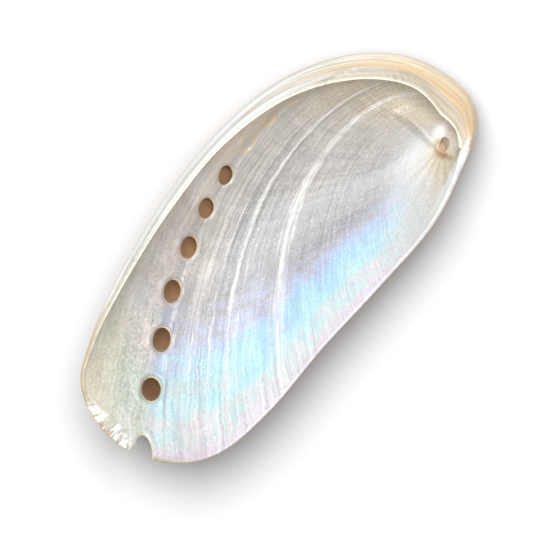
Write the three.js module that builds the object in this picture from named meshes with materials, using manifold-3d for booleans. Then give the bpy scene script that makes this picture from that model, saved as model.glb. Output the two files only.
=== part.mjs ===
// A polished abalone shell of the long, narrow donkey's ear kind, lying on its back with its
// mouth up. It is one piece: a thin boat-shaped bowl, a shelf rolled over along the inner lip,
// a small coiled spire at one end, a row of six open holes and the notch of a seventh.
// Millimetres. +Z is up, +X runs along the shell to the spire end, +Y to the inner lip.
import * as THREE from "three";
import { mergeVertices } from "three/addons/utils/BufferGeometryUtils.js";
import Module from "manifold-3d";

const wasm = await Module();
wasm.setup();

// Driving dimensions
const LENGTH = 90; // nominal, from the spire end to the growing end
const HALF = LENGTH / 2;
const WALL = 1.25; // thickness of the floor
const SPIRE_WALL = 1.0; // added to it at the spire end

// The rim, one station every 20 degrees from the spire end round by the inner lip, the growing
// end and the outer lip. x and y are the outline in plan. shelf is how far the mouth's edge lies
// inside it. side is the outline's height and edge the height of the mouth's edge. out and
// in say how far round an ellipse each wall runs: 90 stands upright at the rim, and more
// than 90 is undercut.
const STATION = 20;
const RIM = [
  { x: 45.1, y: -6.6, shelf: 6.8, side: 7.2, edge: 12.6, out: 88, in: 122 },
  { x: 42.6, y: 4.1, shelf: 5.8, side: 8.2, edge: 13.2, out: 87, in: 114 },
  { x: 34.5, y: 13.1, shelf: 4.8, side: 9.8, edge: 13.9, out: 85, in: 105 },
  { x: 22.6, y: 18.9, shelf: 3.5, side: 11.6, edge: 14.4, out: 82, in: 97 },
  { x: 7.8, y: 20.9, shelf: 2.4, side: 12.9, edge: 14.8, out: 79, in: 90 },
  { x: -7.9, y: 19.8, shelf: 2.0, side: 13.6, edge: 15.0, out: 74, in: 83 },
  { x: -22.6, y: 16.8, shelf: 1.5, side: 14.1, edge: 15.0, out: 67, in: 73 },
  { x: -34.6, y: 13.0, shelf: 0.9, side: 14.3, edge: 14.8, out: 59, in: 62 },
  { x: -42.8, y: 8.0, shelf: 0.6, side: 14.2, edge: 14.5, out: 53, in: 54 },
  { x: -45.6, y: -2.2, shelf: 0.5, side: 13.8, edge: 14.1, out: 50, in: 50 },
  { x: -42.6, y: -11.8, shelf: 0.5, side: 13.7, edge: 14.0, out: 50, in: 50 },
  { x: -34.6, y: -18.1, shelf: 0.5, side: 13.8, edge: 14.1, out: 52, in: 52 },
  { x: -22.5, y: -19.9, shelf: 0.5, side: 14.0, edge: 14.3, out: 54, in: 54 },
  { x: -7.8, y: -19.5, shelf: 0.5, side: 14.1, edge: 14.4, out: 55, in: 55 },
  { x: 7.8, y: -19.8, shelf: 0.6, side: 14.1, edge: 14.4, out: 57, in: 57 },
  { x: 22.5, y: -19.6, shelf: 0.8, side: 13.8, edge: 14.1, out: 60, in: 60 },
  { x: 34.5, y: -16.5, shelf: 1.4, side: 12.2, edge: 13.5, out: 72, in: 78 },
  { x: 42.4, y: -13.2, shelf: 5.2, side: 7.6, edge: 12.8, out: 86, in: 112 },
];

// The keel is the deepest line, along which the grids of the two sides meet. It runs between
// y values at the growing end and the spire, and bows towards the inner lip between them. Its
// depth is z = rise u^2 + skew u^3, with u = x / HALF.
const KEEL = { half: 33, growing: -2.5, spire: -8, bow: 10, rise: 8, skew: -3.5 };

// The spire's coil turns about this point.
const APEX = { x: 35.1, y: -11.5 };

// Spiral lines run out from the apex with a growth rate that rises with the angle. A line's
// index is ln(radius) less this rate summed up to its angle, in radians from +X.
const SPIRAL = { angle: 2.158, rate: 0.75, gain: 0.19 };

// Low folds that follow the spiral lines: height of the ridge, and half width as an index.
const FOLDS = [
  { index: 3.18, height: 0.3, half: 0.03 },
  { index: 2.9, height: 0.25, half: 0.035 },
  { index: 3.31, height: 0.12, half: 0.02 },
  { index: 3.07, height: 0.1, half: 0.025 },
  { index: 3.42, height: 0.22, half: 0.014 },
];
const ROW_CHANNEL = { index: 3.467, depth: 0.3, half: 0.045 };
const FOLD_FADE = { from: 6, to: 16 }; // folds rise over these distances from the apex
const FOLDS_OUTSIDE = 0.3; // share of the folds' height that still shows on the polished back

// The coil seen from outside: a groove that winds in from where the outer lip joins on.
const SUTURE = { radius: 5.6, angle: -1.28, rate: 0.24, depth: 0.55, half: 0.2, inner: 1.2 };
const KNOB = { height: 1.1, radius: 4.2 }; // how far the spire stands out from the back

// Where the outer lip ends: a low bead laid over the spire's last turn.
const LIP_END = { x: 35.0, y: -16.6, toX: 39.5, toY: -13.9, height: 0.9, half: 0.9 };

// Open holes, from the oldest to the youngest: centre at the inner surface, length along the
// row, width, and how many degrees each leans towards the growing end on its way out.
const HOLES = [
  { x: 4.5, y: 14.4, long: 3.9, wide: 2.4, lean: 32 },
  { x: -2.3, y: 13.0, long: 4.1, wide: 2.7, lean: 26 },
  { x: -9.7, y: 10.6, long: 4.6, wide: 2.9, lean: 22 },
  { x: -17.7, y: 7.5, long: 4.8, wide: 3.0, lean: 18 },
  { x: -25.6, y: 3.1, long: 4.8, wide: 3.2, lean: 14 },
  { x: -33.7, y: -1.4, long: 4.6, wide: 3.5, lean: 10 },
];
const NOTCH = { x: -43.6, y: -7.9, long: 6.6, wide: 3.3, turn: 43 };

// Small nicks in the margin at the growing end: where round the rim, and how wide.
const NICKS = [
  { at: 163, wide: 0.3 },
  { at: 167, wide: 0.4 },
  { at: 170, wide: 0.3 },
  { at: 173.5, wide: 0.45 },
  { at: 177, wide: 0.35 },
  { at: 180, wide: 0.4 },
  { at: 182.5, wide: 0.35 },
  { at: 203, wide: 0.35 },
];
const TIP = { x: -44.6, y: -7.5, radius: 2.0 }; // rounds the tongue beside the notch

// Older holes that the shell has closed: shallow oval dimples.
const CLOSED_HOLES = [
  { x: 11.3, y: 15.1, long: 2.9, wide: 1.9, depth: 0.35 },
  { x: 17.2, y: 15.0, long: 2.6, wide: 1.5, depth: 0.3 },
  { x: 22.8, y: 14.0, long: 2.2, wide: 1.2, depth: 0.25 },
];

// Where the hollow coil begins: a round pit in a shallow dish, with a lobe beside it, and the
// crease that runs from it along the foot of the wall under the shelf.
const PIT = { radius: 1.0, foot: 0.7, depth: 1.7, lean: 20 };
const DISH = { x: 33.9, y: -12.2, radius: 1.7, depth: 0.7 };
const LOBE = { x: 36.0, y: -9.2, radius: 1.6, height: 0.7 };
const CREASE = { x: 33.9, y: -9.9, toX: 33.8, toY: -1.6, height: 0.3, half: 0.7 };

// The attitude in which it comes to rest on its back, in degrees, and the flat worn there.
const REST = { roll: 1.8, pitch: 3.2, flat: 0.15 };

// Facets
const AROUND = 96;
const OUTER_ROWS = 16;
const SHELF_ROWS = 7;
const INNER_ROWS = 20;
const HOLE_SIDES = 20;
const SLIVER = 0.004; // edges shorter than this are merged away

const NACRE = { color: 0xd9d4cc, roughness: 0.3, metalness: 0.0 };

const radians = THREE.MathUtils.degToRad;
const smoothstep = THREE.MathUtils.smoothstep;

// The rim's values at any angle, on a smooth closed curve through the stations.
function rimAt(degrees) {
  const place = degrees / STATION;
  const before = Math.floor(place);
  const f = place - before;
  const station = (k) => RIM[(before + k + 2 * RIM.length) % RIM.length];
  const blend = (key) => {
    const [a, b, c, d] = [-1, 0, 1, 2].map((k) => station(k)[key]);
    const slope = (c - a) / 2;
    const nextSlope = (d - b) / 2;
    const bend = 3 * (c - b) - 2 * slope - nextSlope;
    const twist = 2 * (b - c) + slope + nextSlope;
    return b + f * (slope + f * (bend + f * twist));
  };
  return Object.fromEntries(Object.keys(RIM[0]).map((key) => [key, blend(key)]));
}

// The keel's point that a rim angle is measured from.
function keelAt(degrees) {
  const share = Math.cos(radians(degrees));
  const across = THREE.MathUtils.lerp(KEEL.growing, KEEL.spire, (share + 1) / 2);
  const ease = ((KEEL.spire - KEEL.growing) * share * (1 - share * share)) / 4;
  return { x: KEEL.half * share, y: across + ease + KEEL.bow * (1 - share * share) ** 2 };
}

// Height of the keel's long curve under any plan x.
function keelHeight(x) {
  const u = x / HALF;
  return KEEL.rise * u * u + KEEL.skew * u * u * u;
}

function wallAt(x) {
  return WALL + SPIRE_WALL * smoothstep(x, 20, 36);
}

// A wall's point: along runs from 0 at the keel to 1 at the rim, round an ellipse's arc.
function wallPoint(foot, rimX, rimY, rimZ, arc, along, lift) {
  const limit = radians(arc);
  const turn = limit * along;
  const reach = Math.sin(turn) / Math.sin(limit);
  const climb = (1 - Math.cos(turn)) / (1 - Math.cos(limit));
  const x = foot.x + (rimX - foot.x) * reach;
  const y = foot.y + (rimY - foot.y) * reach;
  const base = (at) => keelHeight(at) + lift(at);
  return [x, y, base(x) + (rimZ - base(rimX)) * climb];
}

// One column of the closed surface: up the outside, over the shelf and down the inside.
function column(degrees) {
  const rim = rimAt(degrees);
  const foot = keelAt(degrees);
  const span = Math.hypot(rim.x - foot.x, rim.y - foot.y);
  const inset = rim.shelf / span;
  const edgeX = rim.x + (foot.x - rim.x) * inset;
  const edgeY = rim.y + (foot.y - rim.y) * inset;
  const points = [];
  for (let i = 0; i <= OUTER_ROWS; i++) {
    points.push(wallPoint(foot, rim.x, rim.y, rim.side, rim.out, i / OUTER_ROWS, () => 0));
  }
  for (let i = 1; i < SHELF_ROWS; i++) {
    const turn = (Math.PI / 2) * (i / SHELF_ROWS);
    const out = Math.cos(turn);
    points.push([
      edgeX + (rim.x - edgeX) * out,
      edgeY + (rim.y - edgeY) * out,
      rim.side + (rim.edge - rim.side) * Math.sin(turn),
    ]);
  }
  for (let i = INNER_ROWS; i >= 0; i--) {
    points.push(wallPoint(foot, edgeX, edgeY, rim.edge, rim.in, i / INNER_ROWS, wallAt));
  }
  return points;
}

// Distance, angle and spiral index of a plan point about the apex.
function aboutApex(x, y) {
  const distance = Math.hypot(x - APEX.x, y - APEX.y);
  let angle = Math.atan2(y - APEX.y, x - APEX.x);
  if (angle < -1.2) angle += 2 * Math.PI;
  const past = angle - SPIRAL.angle;
  const index = Math.log(distance) - SPIRAL.rate * past - SPIRAL.gain * past * past;
  return { distance, angle, index };
}

const bell = (value) => Math.exp(-value * value);

// How far the folds stand up at a plan point, seen from inside.
function foldHeight(x, y) {
  const { distance, index } = aboutApex(x, y);
  let height = 0;
  for (const fold of FOLDS) height += fold.height * bell((index - fold.index) / fold.half);
  height -= ROW_CHANNEL.depth * bell((index - ROW_CHANNEL.index) / ROW_CHANNEL.half);
  height *= smoothstep(distance, FOLD_FADE.from, FOLD_FADE.to);
  for (const hole of CLOSED_HOLES) {
    const turn = rowDirection(hole);
    const [along, across] = turned(x - hole.x, y - hole.y, turn);
    height -= hole.depth * bell(Math.hypot(along / hole.long, across / hole.wide) * 2);
  }
  return height;
}

// How far the parts about the pit stand up, seen from inside.
function pitRelief(x, y) {
  const dish = DISH.depth * bell(Math.hypot(x - DISH.x, y - DISH.y) / DISH.radius);
  const lobe = LOBE.height * bell(Math.hypot(x - LOBE.x, y - LOBE.y) / LOBE.radius);
  return lobe - dish + beadHeight(CREASE, x, y);
}

// A rounded bead laid along a straight line in plan.
function beadHeight(bead, x, y) {
  const [dx, dy] = [bead.toX - bead.x, bead.toY - bead.y];
  const along = ((x - bead.x) * dx + (y - bead.y) * dy) / (dx * dx + dy * dy);
  const share = Math.min(1, Math.max(0, along));
  const away = Math.hypot(x - bead.x - share * dx, y - bead.y - share * dy);
  return bead.height * bell(away / bead.half);
}

function turned(x, y, turn) {
  return [x * Math.cos(turn) + y * Math.sin(turn), y * Math.cos(turn) - x * Math.sin(turn)];
}

// Direction of the spiral line through a point, which the holes are drawn out along.
function rowDirection({ x, y }) {
  const { angle } = aboutApex(x, y);
  const rate = SPIRAL.rate + 2 * SPIRAL.gain * (angle - SPIRAL.angle);
  return angle + Math.atan2(1, rate);
}

// How far the coil stands out from the back at a plan point.
function coilHeight(x, y) {
  const { distance } = aboutApex(x, y);
  const d = Math.max(distance, 0.05);
  const angle = Math.atan2(y - APEX.y, x - APEX.x);
  const turns = (angle - SUTURE.angle - Math.log(d / SUTURE.radius) / SUTURE.rate) / (2 * Math.PI);
  const nearest = Math.round(turns);
  // Before its start at the lip the groove has not been laid down yet.
  const age = -(angle - SUTURE.angle - 2 * Math.PI * nearest);
  const started = smoothstep(age, -0.5, 0.1);
  const groove = SUTURE.depth * smoothstep(d, SUTURE.inner, SUTURE.inner + 2) * started;
  const knob = KNOB.height * bell(d / KNOB.radius);
  return knob - groove * bell((turns - nearest) / SUTURE.half);
}

// The closed shell before the holes are cut: a grid of columns. The coil's relief stands out
// along the surface's normal, and the rest of the relief is added to the height.
function shellSkin() {
  const columns = [];
  for (let i = 0; i < AROUND; i++) columns.push(column((360 * i) / AROUND));
  const rows = columns[0].length;
  const positions = columns.flat(2);
  const faces = [];
  for (let i = 0; i < AROUND; i++) {
    const next = (i + 1) % AROUND;
    for (let j = 0; j < rows - 1; j++) {
      const [a, b, c, d] = [i * rows + j, next * rows + j, next * rows + j + 1, i * rows + j + 1];
      faces.push(a, b, c, a, c, d);
    }
  }
  let skin = new THREE.BufferGeometry();
  skin.setAttribute("position", new THREE.Float32BufferAttribute(positions, 3));
  skin.setIndex(faces);
  skin = mergeVertices(skin, 1e-4);
  skin.computeVertexNormals();
  const { position, normal } = skin.attributes;
  for (let i = 0; i < position.count; i++) {
    const [x, y] = [position.getX(i), position.getY(i)];
    const outside = normal.getZ(i) < 0;
    const shown = outside ? FOLDS_OUTSIDE : 1;
    const folds = shown * foldHeight(x, y) * Math.abs(normal.getZ(i));
    const within = pitRelief(x, y) + beadHeight(LIP_END, x, y);
    const coil = outside ? coilHeight(x, y) : 0;
    position.setXYZ(
      i,
      x + normal.getX(i) * coil,
      y + normal.getY(i) * coil,
      position.getZ(i) + normal.getZ(i) * coil + (outside ? folds : folds + within),
    );
  }
  return skin;
}

// A closed geometry as a solid.
function solid(geometry) {
  const plain = geometry.clone();
  plain.deleteAttribute("normal");
  plain.deleteAttribute("uv");
  const merged = mergeVertices(plain, 1e-4);
  return new wasm.Manifold(
    new wasm.Mesh({
      numProp: 3,
      vertProperties: merged.attributes.position.array,
      triVerts: new Uint32Array(merged.index.array),
    }),
  );
}

function geometryOf(made) {
  const mesh = made.getMesh();
  const geometry = new THREE.BufferGeometry();
  geometry.setAttribute("position", new THREE.BufferAttribute(mesh.vertProperties, 3));
  geometry.setIndex(new THREE.BufferAttribute(mesh.triVerts, 1));
  return geometry;
}

// Height of the inner surface over a plan point, from the nearest point of the grid.
function floorAt(skin, x, y) {
  const { position, normal } = skin.attributes;
  let [nearest, height] = [Infinity, 0];
  for (let i = 0; i < position.count; i++) {
    const away = Math.hypot(position.getX(i) - x, position.getY(i) - y);
    if (normal.getZ(i) > 0 && away < nearest) [nearest, height] = [away, position.getZ(i)];
  }
  return height;
}

// An oval cutter right through the wall, drawn out along a direction in plan and leaning
// forwards along it on its way down.
function ovalCutter({ x, y, long, wide, lean = 0 }, turn, height) {
  const cutter = new THREE.CylinderGeometry(0.5, 0.5, 2 * HALF, HOLE_SIDES);
  cutter.rotateX(Math.PI / 2);
  cutter.scale(long, wide, 1);
  cutter.applyMatrix4(new THREE.Matrix4().makeShear(0, 0, 0, 0, -Math.tan(radians(lean)), 0));
  cutter.rotateZ(turn);
  cutter.translate(x, y, height);
  return solid(cutter);
}

// A three-sided cutter that takes one nick out of the margin.
function nickCutter({ at, wide }) {
  const rim = rimAt(at);
  const wedge = new THREE.CylinderGeometry(wide, wide, LENGTH, 3);
  wedge.rotateX(Math.PI / 2);
  wedge.rotateZ(radians(at));
  wedge.translate(rim.x, rim.y, 0);
  return solid(wedge);
}

function tipCutter() {
  const post = new THREE.CylinderGeometry(TIP.radius, TIP.radius, LENGTH, HOLE_SIDES);
  post.rotateX(Math.PI / 2);
  post.translate(TIP.x, TIP.y, 0);
  return solid(post);
}

// The round pit, narrower at its foot and leaning in under the shelf.
function pitCutter(height) {
  const pit = new THREE.CylinderGeometry(PIT.radius, PIT.foot, 2 * PIT.depth, HOLE_SIDES);
  pit.rotateX(Math.PI / 2);
  pit.rotateY(radians(PIT.lean));
  pit.translate(APEX.x, APEX.y, height);
  return solid(pit);
}

function shellGeometry() {
  const skin = shellSkin();
  let shell = solid(skin);
  for (const hole of HOLES) {
    const height = floorAt(skin, hole.x, hole.y);
    shell = shell.subtract(ovalCutter(hole, rowDirection(hole), height));
  }
  shell = shell.subtract(ovalCutter(NOTCH, radians(NOTCH.turn), 0));
  for (const nick of NICKS) shell = shell.subtract(nickCutter(nick));
  shell = shell.subtract(tipCutter());
  shell = shell.subtract(pitCutter(floorAt(skin, APEX.x, APEX.y)));
  const geometry = geometryOf(shell);
  geometry.rotateX(radians(REST.roll));
  geometry.rotateY(radians(REST.pitch));
  geometry.computeBoundingBox();
  const centre = geometry.boundingBox.getCenter(new THREE.Vector3());
  geometry.translate(-centre.x, -centre.y, -geometry.boundingBox.min.z - REST.flat);
  const table = new THREE.BoxGeometry(2 * LENGTH, 2 * LENGTH, LENGTH);
  table.translate(0, 0, -HALF);
  return geometryOf(solid(geometry).subtract(solid(table)).simplify(SLIVER));
}

const shell = new THREE.Mesh(shellGeometry(), new THREE.MeshStandardMaterial(NACRE));
shell.name = "shell";

const model = new THREE.Group();
model.add(shell);
export default model;
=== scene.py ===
# A polished donkey's ear abalone shell lying on its back: one thin boat of mother-of-pearl with
# a rolled inner lip, a small coil with a pit, a row of open holes and a brown outer skin behind.
# The shell is worked out in millimetres, as in the frame's own solid, and scaled to metres.
import math

import bpy
import numpy as np
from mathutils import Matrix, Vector


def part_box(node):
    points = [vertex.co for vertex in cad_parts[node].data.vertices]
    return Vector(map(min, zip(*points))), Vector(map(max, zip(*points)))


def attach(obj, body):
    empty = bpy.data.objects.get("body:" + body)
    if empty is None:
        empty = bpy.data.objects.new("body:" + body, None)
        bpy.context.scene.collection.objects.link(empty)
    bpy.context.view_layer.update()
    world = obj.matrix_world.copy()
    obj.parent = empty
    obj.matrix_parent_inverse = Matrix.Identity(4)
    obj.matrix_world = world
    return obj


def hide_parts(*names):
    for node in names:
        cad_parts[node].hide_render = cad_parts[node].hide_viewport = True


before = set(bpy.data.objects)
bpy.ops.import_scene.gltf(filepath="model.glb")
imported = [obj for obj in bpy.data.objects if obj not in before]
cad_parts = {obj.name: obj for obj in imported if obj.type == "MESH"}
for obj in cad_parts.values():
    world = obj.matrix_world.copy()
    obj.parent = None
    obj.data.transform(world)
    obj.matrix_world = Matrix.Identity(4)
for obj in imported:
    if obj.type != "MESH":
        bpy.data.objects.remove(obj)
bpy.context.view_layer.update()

MM = 0.001

# The shell's form, in millimetres

HALF = 45.0
WALL = 1.25
SPIRE_WALL = 1.0
STATION = 20.0
# x, y, width of the rolled shelf, height of the side and of the edge, and how many degrees of arc
# the wall's outside and inside turn through: one row every 20 degrees, from the spire end round
# by the inner lip, the growing end and the outer lip
RIM = np.array([
    (45.1, -6.6, 6.8, 7.2, 12.6, 88, 122),
    (42.6, 4.1, 5.8, 8.2, 13.2, 87, 114),
    (34.5, 13.1, 4.8, 9.8, 13.9, 85, 105),
    (22.6, 18.9, 3.5, 11.6, 14.4, 82, 97),
    (7.8, 20.9, 2.4, 12.9, 14.8, 79, 90),
    (-7.9, 19.8, 2.0, 13.6, 15.0, 74, 83),
    (-22.6, 16.8, 1.5, 14.1, 15.0, 67, 73),
    (-34.6, 13.0, 0.9, 14.3, 14.8, 59, 62),
    (-42.8, 8.0, 0.6, 14.2, 14.5, 53, 54),
    (-45.6, -2.2, 0.5, 13.8, 14.1, 50, 50),
    (-42.6, -11.8, 0.5, 13.7, 14.0, 50, 50),
    (-34.6, -18.1, 0.5, 13.8, 14.1, 52, 52),
    (-22.5, -19.9, 0.5, 14.0, 14.3, 54, 54),
    (-7.8, -19.5, 0.5, 14.1, 14.4, 55, 55),
    (7.8, -19.8, 0.6, 14.1, 14.4, 57, 57),
    (22.5, -19.6, 0.8, 13.8, 14.1, 60, 60),
    (34.5, -16.5, 1.4, 12.2, 13.5, 72, 78),
    (42.4, -13.2, 4.9, 7.6, 12.8, 86, 112),
])
APEX = np.array([35.1, -11.5])
SPIRAL_ANGLE, SPIRAL_RATE, SPIRAL_GAIN = 2.158, 0.75, 0.19
# index of a spiral line, height of its fold and half width
FOLDS = [
    (3.168, 0.2, 0.013),
    (2.9, 0.14, 0.02),
    (3.31, 0.08, 0.012),
    (3.25, 0.06, 0.009),
    (3.07, 0.07, 0.012),
    (3.43, 0.28, 0.012),
]
ROW_INDEX, ROW_DEPTH, ROW_HALF = 3.467, 0.3, 0.045
# x, y, long, wide, lean: the open holes from the oldest to the youngest
HOLES = [
    (4.5, 14.4, 3.3, 2.6, 14),
    (-2.3, 13.0, 3.6, 2.8, 12),
    (-9.7, 10.6, 4.1, 3.0, 11),
    (-17.7, 7.5, 4.4, 3.1, 10),
    (-25.6, 3.1, 4.7, 3.3, 9),
    (-33.7, -1.4, 4.5, 3.6, 8),
]
# x, y, long, wide, depth: holes that the shell has closed
CLOSED_HOLES = [
    (11.3, 15.1, 2.9, 1.7, 0.35),
    (17.2, 15.0, 2.6, 1.3, 0.3),
    (22.8, 14.0, 2.2, 1.0, 0.25),
]
# x, y, long, wide: the hole that still opens through the growing end, and its round outer end
NOTCH = (-43.6, -7.9, 6.6, 3.3)
NOTCH_TURN = math.radians(43)
TONGUE_END = (-44.6, -7.5, 4.0, 4.0)
# height, distance from the hole's edge and half width of the raised rings
HOLE_RING, NOTCH_RING, CLOSED_RING = (0.22, 0.75, 0.5), (0.35, 0.7, 0.5), (0.16, 1.15, 0.3)
# depth and half width of the rounding at a hole's own edge
HOLE_ROUNDING, NOTCH_ROUNDING = (0.5, 0.26), (0.3, 0.25)
# x, y, radius, height: the lobe and the dish beside the pit
LOBE, DISH = (36.0, -9.2, 1.6, 0.7), (33.9, -12.2, 1.7, -0.7)
# start, end, half width, height: the crease from the pit and the swollen end of the outer lip
CREASE = ((33.9, -9.9), (33.8, -1.6), 0.5, 0.45)
LIP_END = ((35.0, -16.6), (39.5, -13.9), 0.9, 0.9)
CURL_RADIUS, CURL_HALF, CURL_HEIGHT = 1.4, 0.3, 0.45
FAN_RAYS, FAN_HEIGHT = 26, 0.12
LIP_STEP, LIP_STEP_RADIUS, LIP_STEP_HALF = 0.6, 1.9, 0.8
# the coil on the back: angle, tightness and radius of its spiral line, its knob and its groove
COIL_TURN, COIL_RATE, COIL_RADIUS = 1.28, 0.24, 5.6
KNOB_HEIGHT, KNOB_RADIUS, GROOVE_DEPTH, GROOVE_HALF = 1.1, 4.2, 0.55, 0.2
# degrees round the rim, and depth in millimetres
FLAKE_START, FLAKE_PITCH, FLAKE_DEPTH, FLAKES = 160, 1.25, 0.35, 64
TEETH_FROM, TEETH_TO, TOOTH_DEPTH = 150, 212, 0.35
RIDGE_HEIGHT, RIDGE_SPACING = 0.06, 21
PIT_LEAN = math.radians(20)
PIT_FLOOR, PIT_MOUTH, PIT_DEPTH, PIT_STRETCH, PIT_SQUEEZE = 0.8, 1.2, 3.4, 0.3, 0.25
# degrees by which the form is turned to lie at rest, and how far its lowest point is flattened
ROLL, PITCH, FLAT = 1.8, 3.2, 0.15

# divisions of the skin and sides of the cutters
AROUND = 576
OUTER_ROWS = 40
SHELF_ROWS = 16
INNER_ROWS = 100
ROWS = OUTER_ROWS + SHELF_ROWS + INNER_ROWS
HOLE_SIDES, TONGUE_SIDES, NOTCH_SIDES = 64, 72, 96

HOLE_POST_DEPTH = 12
# half width of the tan ring that the finish draws round a hole
RING_HALF = 0.22
SHARP_EDGE = math.radians(38)


def smooth(value, low, high):
    """0 below low, 1 above high, an S curve between."""
    share = np.clip((value - low) / (high - low), 0, 1)
    return share * share * (3 - 2 * share)


def bell(value):
    """1 at 0, falling off evenly to both sides."""
    return np.exp(-value * value)


def rim_at(degrees):
    """The rim's row of values at each angle, on a smooth closed curve through the stations."""
    place = np.asarray(degrees, float) / STATION
    before = np.floor(place).astype(int)
    f = (place - before)[:, None]
    a, b, c, d = (RIM[(before + k) % len(RIM)] for k in (-1, 0, 1, 2))
    slope, next_slope = (c - a) / 2, (d - b) / 2
    bend = 3 * (c - b) - 2 * slope - next_slope
    twist = 2 * (b - c) + slope + next_slope
    return b + f * (slope + f * (bend + f * twist))


def keel_at(degrees):
    """The place in plan from which the wall rises to the rim at each angle."""
    c = np.cos(np.radians(degrees))
    q = 1 - c * c
    return 33 * c, -2.5 - 5.5 * (c + 1) / 2 - 5.5 * c * q / 4 + 10 * q * q


def keel_height(x):
    """Height of the outside where the wall starts."""
    u = x / HALF
    return 8 * u * u - 3.5 * u**3


def wall_thickness(x):
    return WALL + SPIRE_WALL * smooth(x, 20, 36)


def wall_points(foot, top, arc, along, lifted):
    """Points a share along from the keel to the rim, round an ellipse's arc."""
    limit = np.radians(arc)
    turn = limit * along
    reach = np.sin(turn) / np.sin(limit)
    climb = (1 - np.cos(turn)) / (1 - np.cos(limit))
    x = foot[0] + (top[0] - foot[0]) * reach
    y = foot[1] + (top[1] - foot[1]) * reach

    def base(at):
        return keel_height(at) + (wall_thickness(at) if lifted else 0)

    return np.stack([x, y, base(x) + (top[2] - base(top[0])) * climb], -1)


def skin_points(degrees):
    """The closed skin: up the outside, over the shelf and down the inside, [angle, row, xyz]."""
    rim = rim_at(degrees)
    foot = keel_at(degrees)
    x, y, shelf, side, edge, out, into = rim.T
    inset = shelf / np.hypot(x - foot[0], y - foot[1])
    edge_x, edge_y = x + (foot[0] - x) * inset, y + (foot[1] - y) * inset
    rows = []
    for i in range(OUTER_ROWS + 1):
        rows.append(wall_points(foot, (x, y, side), out, i / OUTER_ROWS, False))
    for i in range(1, SHELF_ROWS):
        turn = math.pi / 2 * i / SHELF_ROWS
        across, up = math.cos(turn), math.sin(turn)
        rows.append(np.stack([edge_x + (x - edge_x) * across, edge_y + (y - edge_y) * across,
                              side + (edge - side) * up], -1))
    for i in range(INNER_ROWS, -1, -1):
        rows.append(wall_points(foot, (edge_x, edge_y, edge), into, i / INNER_ROWS, True))
    return np.stack(rows, 1)


def about_apex(x, y):
    """Distance, angle and spiral index about the apex. The angle runs on from -1.2."""
    distance = np.maximum(np.hypot(x - APEX[0], y - APEX[1]), 0.02)
    angle = np.arctan2(y - APEX[1], x - APEX[0])
    angle = np.where(angle < -1.2, angle + 2 * np.pi, angle)
    return distance, angle, index_at(distance, angle)


def index_at(distance, angle):
    """The spiral's number at a place: all points of one spiral line share it."""
    past = angle - SPIRAL_ANGLE
    return np.log(distance) - SPIRAL_RATE * past - SPIRAL_GAIN * past * past


def row_direction(x, y):
    """Direction of the spiral line through a point."""
    _, angle, _ = about_apex(x, y)
    return angle + np.arctan2(1, SPIRAL_RATE + 2 * SPIRAL_GAIN * (angle - SPIRAL_ANGLE))


def oval_reach(x, y, oval, turn):
    """How far out a point lies from an oval's middle: 1 on the oval itself."""
    dx, dy = x - oval[0], y - oval[1]
    along = dx * np.cos(turn) + dy * np.sin(turn)
    across = dy * np.cos(turn) - dx * np.sin(turn)
    return np.hypot(2 * along / oval[2], 2 * across / oval[3])


def oval_gap(x, y, oval, turn):
    """About how many millimetres a point lies outside an oval."""
    return (oval_reach(x, y, oval, turn) - 1) * math.sqrt(oval[2] * oval[3]) / 2


def bead(x, y, start, end, half):
    """1 along a straight line in plan, falling off to each side."""
    start, end = np.array(start), np.array(end)
    step = end - start
    share = np.clip(((x - start[0]) * step[0] + (y - start[1]) * step[1]) / (step @ step), 0, 1)
    return bell(np.hypot(x - start[0] - share * step[0], y - start[1] - share * step[1]) / half)


def waves(seed, count, low, high):
    """Seeded sine waves for an uneven line: (frequency, phase, share) rows."""
    draw = np.random.default_rng(seed)
    return [(draw.uniform(low, high), draw.uniform(0, 6.28), 1 / (k + 1)) for k in range(count)]


def wander(value, rows):
    """An uneven run of values between about -1 and 1."""
    total = sum(share for _, _, share in rows)
    return sum(share * np.sin(f * value + p) for f, p, share in rows) / total


CORD_SWELL = waves(5, 5, 3, 12)
CORD_LINES = waves(3, 9, 90, 420)
GROWTH_DRIFT = waves(7, 4, 2, 8)
GROWTH_SWELL = waves(11, 8, 20, 160)
FACET_SWELL = waves(13, 6, 60, 220)
BACK_CORDS = waves(19, 4, 50, 90)


def fold_relief(x, y):
    """Height of the folds, cords and growth lines that follow the spiral, on the inside."""
    distance, angle, index = about_apex(x, y)
    # near the lip the lines wave a little from side to side
    late = smooth(angle, 2.5, 3.1)
    index = index + 0.007 * late * wander(angle * 4, CORD_SWELL)
    height = 0
    for at, tall, half in FOLDS:
        uneven = 1 + 0.35 * wander(angle + at, CORD_SWELL)
        height = height + tall * uneven * bell((index - at) / half)
    height = height - ROW_DEPTH * bell((index - ROW_INDEX) / ROW_HALF)
    # fine uneven cords, strongest in the middle of the bowl and too close to show by the coil
    shown = smooth(index, 2.55, 2.75) * (1 - smooth(index, 3.4, 3.46)) * smooth(distance, 14, 24)
    cords = wander(index + 0.004 * wander(angle, CORD_SWELL), CORD_LINES)
    height = height + 0.05 * cords * shown
    # growth lines, crossing the cords
    growth = angle + 0.1 * index + 0.03 * wander(index, GROWTH_DRIFT)
    late = smooth(angle, 2.2, 3.0) * (1 - smooth(index, 3.0, 3.3))
    height = height + 0.04 * wander(growth, GROWTH_SWELL) * (0.25 + 0.75 * late)
    # the scalloped facets between the hole row and the inner lip
    facets = wander(angle + 0.35 * index, FACET_SWELL)
    height = height + 0.1 * facets * smooth(index, 3.49, 3.53) * smooth(angle, 2.0, 2.5)
    return height * smooth(distance, 6, 16)


def raised(gap, ring):
    """A ring's height at a gap from the hole."""
    tall, at, half = ring
    return tall * bell((gap - at) / half)


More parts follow.
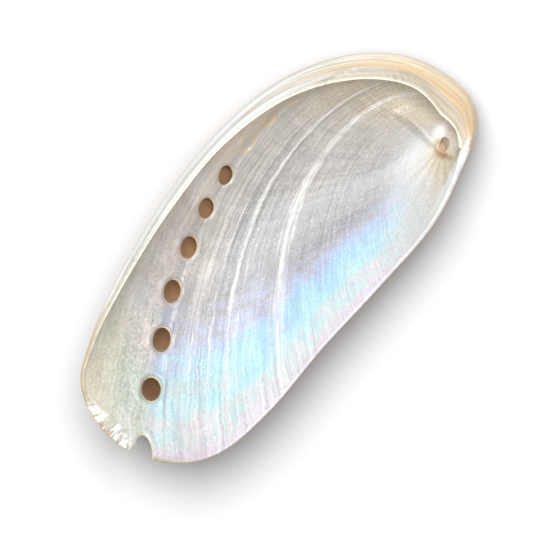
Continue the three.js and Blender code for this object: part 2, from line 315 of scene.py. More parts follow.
def rounded(gap, rounding):
    """How far the rounding of a hole's edge sinks at a gap from the hole."""
    deep, half = rounding
    return deep * bell(np.maximum(gap, 0) / half)


def hole_relief(x, y):
    """Raised rings round the open holes and the notch, their rounded rims, closed dimples."""
    height = 0
    for hole in HOLES:
        gap = oval_gap(x, y, hole, row_direction(hole[0], hole[1]))
        height = height + raised(gap, HOLE_RING) - rounded(gap, HOLE_ROUNDING)
    for hole in CLOSED_HOLES:
        reach = oval_reach(x, y, hole, row_direction(hole[0], hole[1]))
        height = height - hole[4] * bell(reach) + raised(reach, CLOSED_RING)
    gap = oval_gap(x, y, NOTCH, NOTCH_TURN)
    return height + raised(gap, NOTCH_RING) - rounded(gap, NOTCH_ROUNDING)


def pit_relief(x, y):
    """The dish and lobe about the pit, its curled rim, the crease and the fanning streaks."""
    height = CREASE[3] * bead(x, y, *CREASE[:3])
    for middle_x, middle_y, radius, tall in (LOBE, DISH):
        height = height + tall * bell(np.hypot(x - middle_x, y - middle_y) / radius)
    away = np.hypot(x - APEX[0], y - APEX[1])
    around = np.arctan2(y - APEX[1], x - APEX[0])
    curl = CURL_HEIGHT * bell((away - CURL_RADIUS) / CURL_HALF)
    curl = curl * smooth(np.cos(around - 2.6), -0.7, 0.6)
    fan = FAN_HEIGHT * np.sin(around * FAN_RAYS) * smooth(away, 2, 4) * (1 - smooth(away, 7, 12))
    fan = fan * smooth(np.cos(around + 1.9), 0.0, 0.6)
    return height + curl + fan


def flakes_at(degrees):
    """How deep each flake of the margin at the growing end is, 0 to 1, and where they are."""
    flake = np.floor((degrees - FLAKE_START) / FLAKE_PITCH)
    draw = np.random.default_rng(17).uniform(0.1, 1, FLAKES)
    deep = draw[np.clip(flake, 0, FLAKES - 1).astype(int)]
    return deep, smooth(degrees, 163, 167) * (1 - smooth(degrees, 184, 188))


def coil_relief(x, y):
    """The knob and groove of the coil, on the back."""
    distance, _, _ = about_apex(x, y)
    angle = np.arctan2(y - APEX[1], x - APEX[0])
    wound = np.log(np.maximum(distance, 0.05) / COIL_RADIUS) / COIL_RATE
    turns = (angle + COIL_TURN - wound) / (2 * np.pi)
    nearest = np.round(turns)
    age = -(angle + COIL_TURN - 2 * np.pi * nearest)
    groove = GROOVE_DEPTH * smooth(distance, 1.2, 3.2) * smooth(age, -0.5, 0.1)
    knob = KNOB_HEIGHT * bell(distance / KNOB_RADIUS)
    return knob - groove * bell((turns - nearest) / GROOVE_HALF)


def back_relief(x, y):
    """Growth lines and weak cords on the back."""
    _, angle, index = about_apex(x, y)
    growth = angle + 0.12 * index + 0.03 * wander(index, GROWTH_DRIFT)
    cords = wander(index + 0.01 * wander(angle, CORD_SWELL), BACK_CORDS)
    return 0.06 * wander(growth, GROWTH_SWELL) + 0.07 * cords * smooth(index, 1.6, 2.4)


# Mesh tools


def only(piece):
    """Makes one object the only selected and active one."""
    for other in bpy.context.selected_objects:
        other.select_set(False)
    piece.select_set(True)
    bpy.context.view_layer.objects.active = piece


def places(mesh):
    """The mesh's vertex positions, one row each."""
    flat = np.empty(len(mesh.vertices) * 3)
    mesh.vertices.foreach_get("co", flat)
    return flat.reshape(-1, 3)


def place(mesh, points):
    """Moves the mesh's vertices to new positions."""
    mesh.vertices.foreach_set("co", np.ascontiguousarray(points).ravel())
    mesh.update()


def attitude(points):
    """Turns the form's own frame to the attitude in which the shell rests."""
    a, b = math.radians(ROLL), math.radians(PITCH)
    roll = np.array([(1, 0, 0), (0, math.cos(a), -math.sin(a)), (0, math.sin(a), math.cos(a))])
    pitch = np.array([(math.cos(b), 0, math.sin(b)), (0, 1, 0), (-math.sin(b), 0, math.cos(b))])
    return points @ (pitch @ roll).T


def corner_pairs(layer):
    """The two numbers that a map holds at each corner."""
    values = np.empty(len(layer.data) * 2)
    layer.data.foreach_get("uv", values)
    return values.reshape(-1, 2)


def store_pairs(mesh, name, first, second):
    """Keeps two numbers a corner as a map, which the cuts carry over to the faces they make."""
    layer = mesh.uv_layers.new(name=name)
    layer.data.foreach_set("uv", np.stack([first, second], -1).astype(np.float32).ravel())


# The shell's skin

for picked in bpy.context.selected_objects:
    picked.select_set(False)

bpy.ops.mesh.primitive_grid_add(x_subdivisions=AROUND, y_subdivisions=ROWS, size=1,
                                calc_uvs=True)
shell = bpy.context.active_object
shell.name = "abalone_shell"
mesh = shell.data
mesh.name = "abalone_shell"
flat = places(mesh)
column = np.rint((flat[:, 0] + 0.5) * AROUND).astype(int)
row = np.rint((flat[:, 1] + 0.5) * ROWS).astype(int)
skin = skin_points(np.arange(AROUND) * 360.0 / AROUND)
place(mesh, skin[column % AROUND, row])

only(shell)
bpy.ops.object.mode_set(mode="EDIT")
bpy.ops.mesh.select_all(action="SELECT")
bpy.ops.mesh.remove_doubles(threshold=1e-4)
bpy.ops.mesh.normals_make_consistent(inside=False)
bpy.ops.object.mode_set(mode="OBJECT")

around_map = mesh.uv_layers[0]
around_map.name = "around"
corner_around = corner_pairs(around_map)
corner_vertex = np.empty(len(mesh.loops), int)
mesh.loops.foreach_get("vertex_index", corner_vertex)
corner_face = np.repeat(np.arange(len(mesh.polygons)), 4)

form = places(mesh)
normals = np.empty(len(form) * 3)
mesh.vertices.foreach_get("normal", normals)
normals = normals.reshape(-1, 3)
vertex_row = np.zeros(len(form))
vertex_row[corner_vertex] = corner_around[:, 1] * ROWS
vertex_degrees = np.zeros(len(form))
vertex_degrees[corner_vertex] = (corner_around[:, 0] * 360) % 360
upward = normals[:, 2] >= 0

x, y, _ = form.T
rim = rim_at(vertex_degrees)
outline_gap = np.hypot(x - rim[:, 0], y - rim[:, 1])
level = np.abs(normals[:, 2])
deep, flaked = flakes_at(vertex_degrees)
flake_end = 1 - smooth(outline_gap - rim[:, 2], 0.4 + 1.6 * deep, 0.8 + 1.8 * deep)
within = fold_relief(x, y) * level + hole_relief(x, y) * level + pit_relief(x, y)
within = within + LIP_END[3] * bead(x, y, *LIP_END[:3])
within = within - FLAKE_DEPTH * deep * flaked * flake_end
behind = 0.3 * fold_relief(x, y) * level + back_relief(x, y)
outside = vertex_row <= OUTER_ROWS
moved = form + normals * (coil_relief(x, y) * outside)[:, None]
moved[:, 2] += np.where(upward | (vertex_row > OUTER_ROWS + SHELF_ROWS), within, behind)

# the inner lip stands a little back where the pit lies against it
from_apex = form[:, :2] - APEX
reach = np.hypot(*from_apex.T)
beside = smooth(-from_apex[:, 1] + 0.9 * from_apex[:, 0], 0.2, 1.0) * upward
step = LIP_STEP * beside * bell((reach - LIP_STEP_RADIUS) / LIP_STEP_HALF)
moved[:, :2] += from_apex * (step / np.maximum(reach, 0.1))[:, None]

# saw teeth along the thin margin, from the growing end's corner to the notch
teeth = 0.5 + 0.5 * wander(np.radians(vertex_degrees), waves(23, 6, 60, 260))
toothed = smooth(vertex_degrees, TEETH_FROM, TEETH_FROM + 10)
toothed = toothed * (1 - smooth(vertex_degrees, TEETH_TO - 8, TEETH_TO))
inward = np.stack(keel_at(vertex_degrees), -1) - rim[:, :2]
inward /= np.hypot(*inward.T)[:, None]
at_margin = 1 - smooth(outline_gap, 0.3, 1.6)
moved[:, :2] += inward * (TOOTH_DEPTH * teeth * toothed * at_margin)[:, None]

# low ridges run along the rolled lip
share = np.clip((vertex_row - OUTER_ROWS) / SHELF_ROWS, 0, 1)
on_shelf = bell((share - 0.55) / 0.4) * (rim[:, 2] > 1.2)
bend = 0.6 * wander(np.radians(vertex_degrees), CORD_SWELL)
ridges = RIDGE_HEIGHT * np.sin(share * RIDGE_SPACING + bend)
moved += normals * (ridges * on_shelf)[:, None]

turned = attitude(moved)
low, high = turned.min(0), turned.max(0)
cad_low, cad_high = (np.array(corner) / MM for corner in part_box("shell"))
shift = (cad_low + cad_high) / 2 - (low + high) / 2
shift[2] = -low[2] - FLAT

# Corner maps for the finishes. "spiral" holds the spiral line that a corner lies on and its age,
# which is its angle behind the lip's present edge. "band" holds the rolled lip's mask and the
# share across it. "marks" holds the holes' rings and the mouth's edge, and "trims" the white
# flakes at the growing end and the pale facet at the end of the outer lip.

lip = rim_at(np.arange(155, 322, 0.5))
_, lip_angle, lip_index = about_apex(lip[:, 0], lip[:, 1])
face_middle = np.zeros((len(mesh.polygons), 2))
np.add.at(face_middle, corner_face, form[corner_vertex, :2] / 4)
middle_angle = about_apex(*face_middle.T)[1]
corner_x, corner_y = form[corner_vertex, 0], form[corner_vertex, 1]
distance, angle, _ = about_apex(corner_x, corner_y)
angle = angle - 2 * np.pi * np.rint((angle - middle_angle[corner_face]) / (2 * np.pi))
index = index_at(distance, angle)
age = np.interp(index, lip_index[::-1], lip_angle[::-1]) - angle
store_pairs(mesh, "spiral", index, age)

corner_share = (corner_around[:, 1] * ROWS - OUTER_ROWS) / SHELF_ROWS
corner_degrees = corner_around[:, 0] * 360
corner_rim = rim_at(corner_degrees)
corner_gap = np.hypot(corner_x - corner_rim[:, 0], corner_y - corner_rim[:, 1])
# the rolled lip runs from the spire end to where the lip thins out at the growing end
rolled = smooth(np.cos(np.radians(corner_degrees - 50)), -0.05, 0.2)
store_pairs(mesh, "band", rolled * (1 - smooth(corner_share, 0.97, 1.03)), corner_share)
ring = np.zeros(len(corner_x))
for hole in HOLES:
    gap = oval_gap(corner_x, corner_y, hole, row_direction(hole[0], hole[1]))
    ring = np.maximum(ring, bell(gap / RING_HALF))
for hole in CLOSED_HOLES:
    reach = oval_reach(corner_x, corner_y, hole, row_direction(hole[0], hole[1]))
    ring = np.maximum(ring, bell((reach - 1.1) / 0.26))
ring = np.maximum(ring, bell(oval_gap(corner_x, corner_y, NOTCH, NOTCH_TURN) / RING_HALF))
curl = bell((distance - 1.35) / 0.25) * smooth(np.cos(angle - 3.0), -0.4, 0.5)
ring = np.maximum(ring, curl)
crest = bell((corner_gap - corner_rim[:, 2]) / 0.24)
crest = crest * np.maximum(rolled, smooth(corner_degrees, 300, 312))
crest = crest * (1 - smooth(corner_share, 1.0, 1.15))
store_pairs(mesh, "marks", ring, crest)
deep, flaked = flakes_at(corner_degrees)
edge_gap = corner_gap - corner_rim[:, 2]
white_flakes = flaked * (1 - smooth(edge_gap, 0.5 + 1.5 * deep, 1.0 + 1.7 * deep))
facet = smooth(corner_degrees, 292, 318) * (1 - smooth(corner_degrees, 331, 334))
facet_start = 1.1 * smooth(corner_degrees, 322, 330)
facet = facet * smooth(corner_gap, facet_start - 0.3, facet_start) * (
    1 - smooth(corner_gap, 1.6, 2.0))
store_pairs(mesh, "trims", white_flakes, facet)

face_row = np.zeros(len(mesh.polygons))
np.add.at(face_row, corner_face, corner_around[:, 1] * ROWS / 4)
place(mesh, (turned + shift) * MM)

# Materials

SOFT = {"interpolation_type": "SMOOTHSTEP"}
TIMES = {"operation": "MULTIPLY"}
COLOUR = {"data_type": "RGBA", "out": 2}


def linear(code):
    """A colour written as six sRGB hex digits, as linear red, green, blue and alpha."""
    parts = [int(code[k:k + 2], 16) / 255 for k in (0, 2, 4)]
    return [c / 12.92 if c <= 0.04045 else ((c + 0.055) / 1.055) ** 2.4 for c in parts] + [1]


def add(tree, kind, inputs=(), out=0, stops=(), **settings):
    """Adds a node with its settings, fills its inputs and gives one of its outputs.

    Inputs come in order, or by name or number. Each is a value, a hex colour or another node's
    output. Stops are the (place, colour) pairs of a colour ramp.
    """
    node = tree.nodes.new("ShaderNode" + kind)
    for key, value in settings.items():
        setattr(node, key, value)
    for key, value in (inputs.items() if isinstance(inputs, dict) else enumerate(inputs)):
        if isinstance(value, bpy.types.NodeSocket):
            tree.links.new(value, node.inputs[key])
        else:
            value = linear(value) if isinstance(value, str) else value
            node.inputs[key].default_value = value
    for k, (at, tint) in enumerate(stops):
        if k > 1:
            node.color_ramp.elements.new(at)
        node.color_ramp.elements[k].position = at
        node.color_ramp.elements[k].color = linear(tint)
    return node.outputs[out] if len(node.outputs) else None


def new_finish(name):
    """An empty material and its node tree."""
    made = bpy.data.materials.new(name)
    made.use_nodes = True
    made.node_tree.nodes.clear()
    return made, made.node_tree


def lay(tree, base, tint, *shares, mode="MIX"):
    """Lays a tint over a base by the product of some shares."""
    share = shares[0]
    for other in shares[1:]:
        share = add(tree, "Math", [share, other], **TIMES)
    return add(tree, "Mix", {0: share, 6: base, 7: tint}, blend_type=mode, **COLOUR)


def stripe(tree, value, middle, half):
    """1 where a value meets the middle, falling off over half to each side."""
    off = add(tree, "Math", [value, middle], operation="SUBTRACT")
    off = add(tree, "Math", [off], operation="ABSOLUTE")
    return add(tree, "MapRange", [off, 0.0, half, 1.0, 0.0], **SOFT)


def corner_pair(tree, name):
    """The two numbers of a corner map."""
    vector = add(tree, "UVMap", uv_map=name)
    return [add(tree, "SeparateXYZ", [vector], out=k) for k in (0, 1)]


def streaked(tree, first, second, first_scale, second_scale, detail):
    """Noise drawn out along one of two coordinates of the surface."""
    first = add(tree, "Math", [first, first_scale], **TIMES)
    second = add(tree, "Math", [second, second_scale], **TIMES)
    vector = add(tree, "CombineXYZ", [first, second])
    return add(tree, "TexNoise", {"Vector": vector, "Scale": 1.0, "Detail": detail,
                                  "Roughness": 0.6})


def cells(where, size, detail, distortion=0.0):
    """Inputs for a noise whose cells have a size in millimetres."""
    return {"Vector": where, "Scale": 1 / (size * MM), "Detail": detail, "Roughness": 0.6,
            "Distortion": distortion}


def oval_patch(tree, where, x, y, long, wide, turn, core=0.2):
    """A soft oval patch seen in plan, 1 over its core: millimetres and degrees."""
    vector = add(tree, "Mapping", {0: where, "Location": (x * MM, y * MM, 0),
                                   "Rotation": (0, 0, math.radians(turn)),
                                   "Scale": (long * MM, wide * MM, 1)}, vector_type="TEXTURE")
    vector = add(tree, "VectorMath", [vector, (1, 1, 0)], **TIMES)
    reach = add(tree, "VectorMath", [vector], out=1, operation="LENGTH")
    return add(tree, "MapRange", [reach, core, 1.0, 1.0, 0.0], **SOFT)


def nudged(tree, value, field, amount):
    """A value shifted by an even field, so that what is drawn from it wavers."""
    off = add(tree, "Math", [field, 0.5], operation="SUBTRACT")
    return add(tree, "Math", [off, amount, value], operation="MULTIPLY_ADD")


ARAGONITE_IOR, HORN_IOR = 1.56, 1.55
NACRE_RELIEF, SKIN_RELIEF = 0.12 * MM, 0.1 * MM
# cells in a metre of the streaks along the rolled lip
LIP_STREAKS = 90
# index of a spiral line, half width and strength of the painted highlight along its fold
FOLD_HIGHLIGHTS = [(3.168, 0.018, 0.95), (3.255, 0.006, 0.5), (3.295, 0.006, 0.45),
                (3.12, 0.006, 0.3), (3.05, 0.007, 0.3), (3.335, 0.006, 0.4),
                (3.42, 0.012, 0.5), (2.9, 0.07, 0.6)]
# share across the rolled lip and half width of its thin peach lines
PEACH_LINES = [(0.62, 0.05), (0.53, 0.02), (0.69, 0.02)]

# Mother-of-pearl, polished by hand: thin plates of aragonite, IOR 1.53 to 1.68. It gives a silky
# gloss, and colours by interference that change in the direction of growth. They break up into
# fine streaks along the spiral, and near the lip into crinkles of under a millimetre.
nacre, tree = new_finish("polished_mother_of_pearl")
where = add(tree, "TexCoord", out=3)
index, age = corner_pair(tree, "spiral")
band, share = corner_pair(tree, "band")
ring, crest = corner_pair(tree, "marks")
white_flakes, facet = corner_pair(tree, "trims")
around, _ = corner_pair(tree, "around")

broad = add(tree, "TexNoise", cells(where, 6.0, 3.0, 0.5))
crinkle = add(tree, "TexNoise", cells(where, 0.75, 3.0, 1.2))
glint = add(tree, "TexNoise", cells(where, 0.3, 1.0, 0.5))
winding = nudged(tree, index, add(tree, "TexNoise", cells(where, 3.0, 2.0)), 0.03)
streaks = streaked(tree, winding, age, 34.0, 1.6, 4.0)
fibres = streaked(tree, winding, age, 110.0, 7.0, 3.0)
growth = streaked(tree, age, winding, 24.0, 1.6, 4.0)
calm = add(tree, "MapRange", [winding, 3.4, 3.5, 1.0, 0.7], **SOFT)
late = add(tree, "MapRange", [age, 0.25, 0.9, 1.0, 0.0], **SOFT)

# the interference colours, silver far from the lip and pink at its very edge
stretch = add(tree, "MapRange", [index, 1.0, 2.9, 0.42, 1.0])
drift = nudged(tree, nudged(tree, age, broad, 0.22), streaks, 0.12)
drift = nudged(tree, nudged(tree, drift, crinkle, 0.1), growth, 0.3)
phase = add(tree, "Math", [drift, stretch], **TIMES)
phase = add(tree, "Math", [phase, 1.8], operation="DIVIDE")
tint = add(tree, "ValToRGB", [phase], stops=[
    (0.0, "F8EEFA"), (0.02, "F0F0F2"), (0.045, "D6EEF0"), (0.075, "BEEAF8"), (0.105, "B8DAF6"),
    (0.13, "BCC8E6"), (0.155, "B6B7C6"), (0.19, "A1A1A4"), (0.3, "A2A1A1"), (0.45, "B4B0AB"),
    (0.62, "BEB8B0"), (0.78, "C6BBA8"), (0.95, "DCD0B8")])
wall_place = add(tree, "Math", [drift, 1.4], operation="DIVIDE")
wall = add(tree, "ValToRGB", [wall_place], stops=[
    (0.0, "E0E0D0"), (0.05, "D4DACA"), (0.09, "C8D4C2"), (0.14, "D6D2C6"), (0.2, "EAD8CE"),
    (0.3, "F0E0D2"), (0.45, "FFEEDC"), (0.6, "FFEACC"), (1.0, "F4D8AE")])
inside_row = add(tree, "MapRange", [winding, 3.44, 3.5, 1.0, 0.0])
near_row = add(tree, "MapRange", [winding, 3.2, 3.36, 0.0, 0.75], **SOFT)
not_late = add(tree, "MapRange", [age, 0.12, 0.45, 0.2, 1.0], **SOFT)
tint = lay(tree, tint, "DCD4CA", near_row, not_late, inside_row)
tint = lay(tree, tint, wall, add(tree, "MapRange", [winding, 3.44, 3.53, 0.0, 1.0], **SOFT))

# the wall outside the row of holes, yellower by the margin, with pale clouds, and white painted
# glints on its crumples near the lip
clouds = streaked(tree, winding, age, 14.0, 9.0, 5.0)
tint = lay(tree, tint, "FFF3D4", add(tree, "MapRange", [winding, 3.56, 3.7, 0.0, 0.9], **SOFT))
pale = add(tree, "MapRange", [clouds, 0.48, 0.62, 0.0, 0.5], **SOFT)
on_wall = add(tree, "MapRange", [winding, 3.45, 3.55, 0.0, 1.0])
tint = lay(tree, tint, "FAF8F0", pale, on_wall)
# painted glints: white where the crinkles rise, near the lip
crumpled = add(tree, "MapRange", [crinkle, 0.5, 0.66, 0.0, 0.5], **SOFT)
tint = lay(tree, tint, "FFFFFF", crumpled, on_wall, late)

# the coil end: whitish, a painted highlight on the lobe, painted shade in the crease and brown
# painted shade in the dish beside the pit
spire = add(tree, "MapRange", [index, 0.0, 2.1, 0.0, 1.0])
spire = add(tree, "ValToRGB", [spire], stops=[
    (0.0, "D2C4AA"), (0.3, "D8D2C6"), (0.6, "CED1CE"), (0.81, "CACCCC"), (1.0, "B6B5B6")])
tint = lay(tree, tint, spire, add(tree, "MapRange", [index, 1.2, 2.4, 0.95, 0.0], **SOFT))
tint = lay(tree, tint, "D4CBBC", oval_patch(tree, where, 37.0, -12.2, 5.5, 5.5, 0))
# painted highlight: a near white oval on the lobe beside the pit
tint = lay(tree, tint, "FFFEFA", oval_patch(tree, where, 36.2, -9.7, 2.8, 1.6, 13), 0.8)
# painted shade: a dark line along the crease
crease = oval_patch(tree, where, 33.9, -6.2, 4.6, 0.5, 90)
tint = lay(tree, tint, "8E8474", crease, 0.6)
tan = add(tree, "MapRange", [age, 1.1, 1.5, 0.0, 0.8], **SOFT)
beside_row = add(tree, "MapRange", [winding, 3.2, 3.36, 0.0, 1.0])
tint = lay(tree, tint, "F4DFB8", tan, beside_row, inside_row)
# painted shade: a brown patch in the hollow of the dish beside the pit
tint = lay(tree, tint, "A07A4C", oval_patch(tree, where, 33.6, -12.8, 2.4, 1.3, -75), 0.9)

# painted highlights along the spiral folds, broken up by the fibres
uneven = add(tree, "MapRange", [fibres, 0.32, 0.58, 0.25, 1.0])
for at, half, strength in FOLD_HIGHLIGHTS:
    tint = lay(tree, tint, "FFFDFA", stripe(tree, winding, at, half), strength, uneven)

# streaks, fibres and growth lines darken it, less so by the coil and outside the row of holes
far = add(tree, "MapRange", [index, 1.6, 2.6, 0.3, 1.0])
for field, low, strength in ((streaks, "C6C4C2", 0.5), (fibres, "C2C0C0", 0.35),
                             (growth, "D4D4D2", 0.4)):
    shade = add(tree, "ValToRGB", [field], stops=[(0.36, low), (0.6, "FFFFFF")])
    tint = lay(tree, tint, shade, strength, calm, far, mode="MULTIPLY")
shade = add(tree, "ValToRGB", [crinkle], stops=[(0.36, "BCC6D2"), (0.56, "FFFFFF")])
tint = lay(tree, tint, shade, late, 0.3, mode="MULTIPLY")

# the growing end is dimmer by the row of holes, and all of it has fine white painted glints
low_side = add(tree, "MapRange", [winding, 3.0, 3.3, 0.0, 0.45], **SOFT)
low_end = add(tree, "MapRange", [age, 0.25, 0.6, 1.0, 0.0], **SOFT)
tint = lay(tree, tint, "D6D4D4", low_side, low_end, mode="MULTIPLY")
# painted glints: white specks drawn from the glint noise
sparkle = add(tree, "MapRange", [glint, 0.5, 0.72, 0.0, 0.3], **SOFT)
tint = lay(tree, tint, "FFFFFF", sparkle, add(tree, "MapRange", [fibres, 0.4, 0.6, 0.15, 1.0]))

# old gritty lime, cream and gold, on the upper wall, in a patch by the coil, and as a wavy line
# that joins the closed holes
grit = add(tree, "TexNoise", cells(where, 0.9, 2.0, 2.5))
worms = add(tree, "MapRange", [stripe(tree, grit, 0.5, 0.07), 0.2, 0.9, 0.0, 0.8])
upper = add(tree, "MapRange", [age, 0.95, 1.3, 0.0, 1.0], **SOFT)
upper_wall = add(tree, "MapRange", [winding, 3.1, 3.3, 0.0, 1.0], **SOFT)
tint = lay(tree, tint, "EBD9B2", worms, upper, upper_wall)
tint = lay(tree, tint, "F4E8CC", worms, oval_patch(tree, where, 35.1, -1.7, 3.4, 2.0, -40))
joined = add(tree, "MapRange", [age, 0.8, 1.0, 0.0, 0.8], **SOFT)
along_row = stripe(tree, nudged(tree, winding, grit, 0.12), 3.455, 0.02)
tint = lay(tree, tint, "EEDDB4", along_row, joined)

# the rolled lip: bluish white with a peach streak, creamier towards the coil
outer_lane = add(tree, "ValToRGB", [around], stops=[
    (0.0, "E6D0AC"), (0.05, "EEE0C2"), (0.12, "DEDCD0"), (0.2, "DAE0E4"), (0.33, "DADFDE"),
    (0.4, "D6D6C6"), (0.93, "D9B98C"), (1.0, "E6D0AC")])
inner_lane = add(tree, "ValToRGB", [around], stops=[
    (0.0, "C6BAA4"), (0.1, "C4BCAC"), (0.19, "B2B3B0"), (0.33, "ABAAA1"), (0.4, "B8B6A4"),
    (0.93, "CCBCA6"), (1.0, "C6BAA4")])
lip = lay(tree, outer_lane, inner_lane, add(tree, "MapRange", [share, 0.35, 0.75], **SOFT))
across = add(tree, "Math", [share, 16.0], **TIMES)
across = add(tree, "CombineXYZ", {2: across})
along = add(tree, "VectorMath", [where, (LIP_STREAKS, LIP_STREAKS, 0)], **TIMES)
along = add(tree, "VectorMath", [along, across])
lip_streaks = add(tree, "TexNoise", {"Vector": along, "Scale": 1.0, "Detail": 4.0,
                                     "Roughness": 0.6})
lane = nudged(tree, share, lip_streaks, 0.1)
# the map round the rim starts anew at the spire end, so here it is turned by a quarter
lip_place = add(tree, "Math", [around, 0.25])
lip_place = add(tree, "Math", [lip_place], operation="FRACT")
fade = add(tree, "MapRange", [lip_place, 0.3, 0.53, 0.6, 0.25], **SOFT)
broad_end = add(tree, "MapRange", [lip_place, 0.3, 0.42, 0.5, 0.0], **SOFT)
lip = lay(tree, lip, "EFCDA0", stripe(tree, lane, 0.6, 0.17), broad_end)
for at, half in PEACH_LINES:
    lip = lay(tree, lip, "E9C491", stripe(tree, lane, at, half), fade)
lip = lay(tree, lip, "E9F0F6", stripe(tree, lane, 0.8, 0.1), stripe(tree, around, 0.25, 0.12))
shade = add(tree, "ValToRGB", [lip_streaks], stops=[(0.34, "D0CCC4"), (0.6, "FFFFFF")])
lip = lay(tree, lip, shade, 0.85, mode="MULTIPLY")
tint = lay(tree, tint, lip, band)

# a cream line on the mouth's edge, the pale facet, the margin darkened as painted shade with its
# white flakes, the rings of the holes and a thin tan outline
speck = add(tree, "MapRange", [glint, 0.35, 0.6, 0.4, 1.0])
tint = lay(tree, tint, "F6EBD0", crest, speck)
tint = lay(tree, tint, "E6E9F0", facet, 0.8)
thin_margin = add(tree, "MapRange", [share, 0.8, 1.3, 1.0, 0.0], **SOFT)
side = add(tree, "MapRange", [around, 0.34, 0.4, 0.0, 0.9], **SOFT)
past_notch = add(tree, "MapRange", [around, 0.56, 0.6, 1.0, 0.0])
# painted shade: the thin margin is darkened, where its flat shelf faces up to the light
tint = lay(tree, tint, "A89C7C", thin_margin, side, past_notch)
blades = streaked(tree, around, share, 260.0, 0.3, 1.0)
blades = add(tree, "MapRange", [blades, 0.44, 0.54, 0.0, 0.9], **SOFT)
tint = lay(tree, tint, "FBFAF6", white_flakes, blades)
tint = lay(tree, tint, "DCC298", ring, 0.75)
thin = add(tree, "MapRange", [share, 0.2, 0.6, 1.0, 0.0], **SOFT)
wide = add(tree, "MapRange", [share, 0.1, 0.24, 1.0, 0.0], **SOFT)
outline = add(tree, "Mix", {0: band, 2: thin, 3: wide})
tint = lay(tree, tint, "C7A27A", outline, 0.8)

# the same fields as fine relief, and the gloss broken up by the streaks
height = add(tree, "Math", [fibres, 0.5, streaks], operation="MULTIPLY_ADD")
height = add(tree, "Math", [growth, 0.25, height], operation="MULTIPLY_ADD")
rough_end = add(tree, "Math", [crinkle, late], **TIMES)
height = add(tree, "Math", [rough_end, 1.2, height], operation="MULTIPLY_ADD")
bump = add(tree, "Bump", {"Strength": 0.7, "Distance": NACRE_RELIEF, "Height": height})
gloss = add(tree, "MapRange", [streaks, 0.25, 0.75, 0.46, 0.32])
surface = add(tree, "BsdfPrincipled", {"Base Color": tint, "Roughness": gloss,
                                       "IOR": ARAGONITE_IOR, "Coat Weight": 0.15,
                                       "Coat Roughness": 0.18, "Normal": bump})
add(tree, "OutputMaterial", [surface])

# The shell's own outer skin, ground smooth and polished, which gives it a clear even gloss. It is
# brown and olive with cream flames, and paler where it meets the edge.
back, tree = new_finish("polished_outer_skin")
index, age = corner_pair(tree, "spiral")
_, along = corner_pair(tree, "around")
flames = streaked(tree, index, age, 5.0, 9.0, 4.0)
rings = streaked(tree, index, age, 4.0, 60.0, 3.0)
tint = add(tree, "ValToRGB", [flames], stops=[
    (0.3, "643C20"), (0.42, "83532C"), (0.52, "8F6B3C"), (0.6, "726A3C"), (0.7, "C9B482")])
shade = add(tree, "ValToRGB", [rings], stops=[(0.3, "C4B6A4"), (0.7, "FFFFFF")])
tint = lay(tree, tint, shade, 0.8, mode="MULTIPLY")
tint = lay(tree, tint, "D2AC78", add(tree, "MapRange", [along, 0.23, 0.268], **SOFT))
bump = add(tree, "Bump", {"Strength": 0.4, "Distance": SKIN_RELIEF, "Height": rings})
surface = add(tree, "BsdfPrincipled", {"Base Color": tint, "Roughness": 0.3, "IOR": HORN_IOR,
                                       "Coat Weight": 0.3, "Coat Roughness": 0.12,
                                       "Normal": bump})
add(tree, "OutputMaterial", [surface])

# Cut through, the wall shows its brown horny layers, left dull and warm by the cut. The pit is
# lined with duller, greyer nacre in the same layers, because no polishing wheel reaches it. Real
# layers are too thin to show, so they are drawn about 0.3 mm thick.
cut_finishes = []
for name, dark, middle, light in (("amber_horny_layer", "6E4220", "8A5830", "A87442"),
                                  ("dull_pit_lining", "A08468", "BCA890", "CFC4B8")):
    made, tree = new_finish(name)
    where = add(tree, "TexCoord", out=3)
    thin_layers = add(tree, "Mapping", {0: where, "Scale": (0.1, 0.1, 1)})
    layers = add(tree, "TexNoise", cells(thin_layers, 0.3, 3.0))
    tint = add(tree, "ValToRGB", [layers], stops=[(0.3, dark), (0.5, middle), (0.7, light)])
    surface = add(tree, "BsdfPrincipled", {"Base Color": tint, "Roughness": 0.42,
                                           "IOR": HORN_IOR})
    add(tree, "OutputMaterial", [surface])
    cut_finishes.append(made)
horny, lining = cut_finishes

for finish in (nacre, back, horny, lining):
    mesh.materials.append(finish)
mesh.polygons.foreach_set("material_index", (face_row < OUTER_ROWS).astype(np.int32))

# Holes, notch and pit


def floor_at(px, py):
    """Height of the inside over a plan point of the form."""
    near = np.where(upward, np.hypot(x - px, y - py), np.inf)
    return form[np.argmin(near), 2]


def post(oval, turn, lean, depth, sides):
    """An oval post about a place on the floor, leaning along its long axis on the way down."""
    bpy.ops.mesh.primitive_cylinder_add(vertices=sides, radius=0.5, depth=depth)
    made = bpy.context.active_object
    points = places(made.data) * (oval[2], oval[3], 1)
    points[:, 0] -= math.tan(math.radians(lean)) * points[:, 2]
    c, s = math.cos(turn), math.sin(turn)
    points = points @ np.array([(c, s, 0), (-s, c, 0), (0, 0, 1)])
    points += (oval[0], oval[1], floor_at(oval[0], oval[1]))
    place(made.data, (attitude(points) + shift) * MM)
    return made


hole_posts = [post(hole[:4], float(row_direction(hole[0], hole[1])), hole[4], HOLE_POST_DEPTH,
                   HOLE_SIDES) for hole in HOLES]
for made in hole_posts:
    made.select_set(True)
bpy.context.view_layer.objects.active = hole_posts[0]
bpy.ops.object.join()
notch = post(NOTCH, NOTCH_TURN, 0, HALF, NOTCH_SIDES)
tongue = post(TONGUE_END, 0, 0, HALF, TONGUE_SIDES)

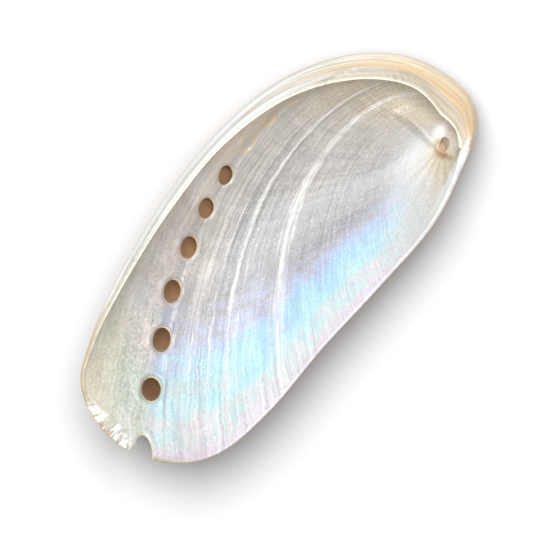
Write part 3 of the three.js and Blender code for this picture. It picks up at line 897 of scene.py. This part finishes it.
bpy.ops.mesh.primitive_cone_add(vertices=HOLE_SIDES, radius1=PIT_FLOOR, radius2=PIT_MOUTH,
                                depth=PIT_DEPTH)
pit = bpy.context.active_object
c, s = math.cos(PIT_LEAN), math.sin(PIT_LEAN)
points = places(pit.data) @ np.array([(c, 0, s), (0, 1, 0), (-s, 0, c)]).T
# narrower across the lip's foot than along it
along_lip, to_lip = np.array([(0.746, 0.666, 0), (0.666, -0.746, 0)])
points += PIT_STRETCH * np.outer(points @ along_lip, along_lip)
points -= PIT_SQUEEZE * np.outer(points @ to_lip, to_lip)
points += (APEX[0], APEX[1], floor_at(*APEX))
place(pit.data, (attitude(points) + shift) * MM)

for cutter in (hole_posts[0], notch, tongue, pit):
    cutter.data.materials.append(lining if cutter == pit else horny)
    only(shell)
    cut = shell.modifiers.new("cut", "BOOLEAN")
    cut.object = cutter
    cut.operation = "DIFFERENCE"
    cut.solver = "MANIFOLD"
    bpy.ops.object.modifier_apply(modifier=cut.name)
    bpy.data.objects.remove(cutter)

# the lowest part rests on a small flat, as the solid does
only(shell)
flat = places(mesh)
flat[:, 2] = np.maximum(flat[:, 2], 0)
place(mesh, flat)
bpy.ops.object.shade_smooth_by_angle(angle=SHARP_EDGE)

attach(shell, "root")
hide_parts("shell")

# Table, light and camera

TABLE_SIZE = 3
# half length and half width of the brown painted shade patches under the holes, and their share
# at full colour
PATCH_LONG, PATCH_WIDE, PATCH_CORE = 4.3, 3.6, 0.3
SUN_POWER, SUN_WIDTH, SUN_FROM = 3.9, math.radians(51), (0.12, 0.24, 0.96)
SURROUND_POWER = 0.32
# the photograph looks straight down through a long lens: the width in view at the rim's height,
# the camera's place and turn, and its distance above the rim
FRAME_WIDTH = 96.595 * MM
FRAME_X, FRAME_Y, FRAME_TURN = -3.057 * MM, -2.492 * MM, math.radians(48.238)
DISTANCE = 1.5
RIM_HEIGHT = 14 * MM
SENSOR = 36

bpy.ops.mesh.primitive_plane_add(size=TABLE_SIZE)
table = bpy.context.active_object
table.name = "white_table"
# Uncoated white card, matt because its fibres are bare. Below each hole it is painted a warm
# brown in a soft patch: painted shade under the shell, seen through the holes.
card, tree = new_finish("white_card")
where = add(tree, "TexCoord", out=3)
tint = "DADADA"
# painted shade: a warm brown patch on the card below each hole
for hole in HOLES:
    spot = attitude(np.array([(hole[0], hole[1], floor_at(hole[0], hole[1]))]))[0] + shift
    turn = math.degrees(float(row_direction(hole[0], hole[1])))
    shade = oval_patch(tree, where, spot[0], spot[1], PATCH_LONG, PATCH_WIDE, turn, PATCH_CORE)
    tint = lay(tree, tint, "A27A58", shade)
surface = add(tree, "BsdfPrincipled", {"Base Color": tint, "Roughness": 0.9})
add(tree, "OutputMaterial", [surface])
table.data.materials.append(card)

# one wide soft light almost overhead, a little to the inner lip's side, and a weak pale surround
bpy.ops.object.light_add(type="SUN")
sun = bpy.context.active_object
sun.data.energy = SUN_POWER
sun.data.angle = SUN_WIDTH
sun.rotation_euler = Vector(SUN_FROM).to_track_quat("Z", "Y").to_euler()
surround = bpy.data.worlds.new("pale_surround")
surround.use_nodes = True
backdrop = surround.node_tree.nodes["Background"]
backdrop.inputs["Color"].default_value = linear("F4F6FA")
backdrop.inputs["Strength"].default_value = SURROUND_POWER
bpy.context.scene.world = surround
bpy.context.scene.view_settings.view_transform = "Standard"

bpy.ops.object.camera_add(location=(FRAME_X, FRAME_Y, RIM_HEIGHT + DISTANCE),
                          rotation=(0, 0, -FRAME_TURN))
camera = bpy.context.active_object
camera.data.sensor_width = SENSOR
camera.data.lens = SENSOR * DISTANCE / FRAME_WIDTH
camera.data.clip_start = 0.05
camera.data.clip_end = 20
bpy.context.scene.camera = camera
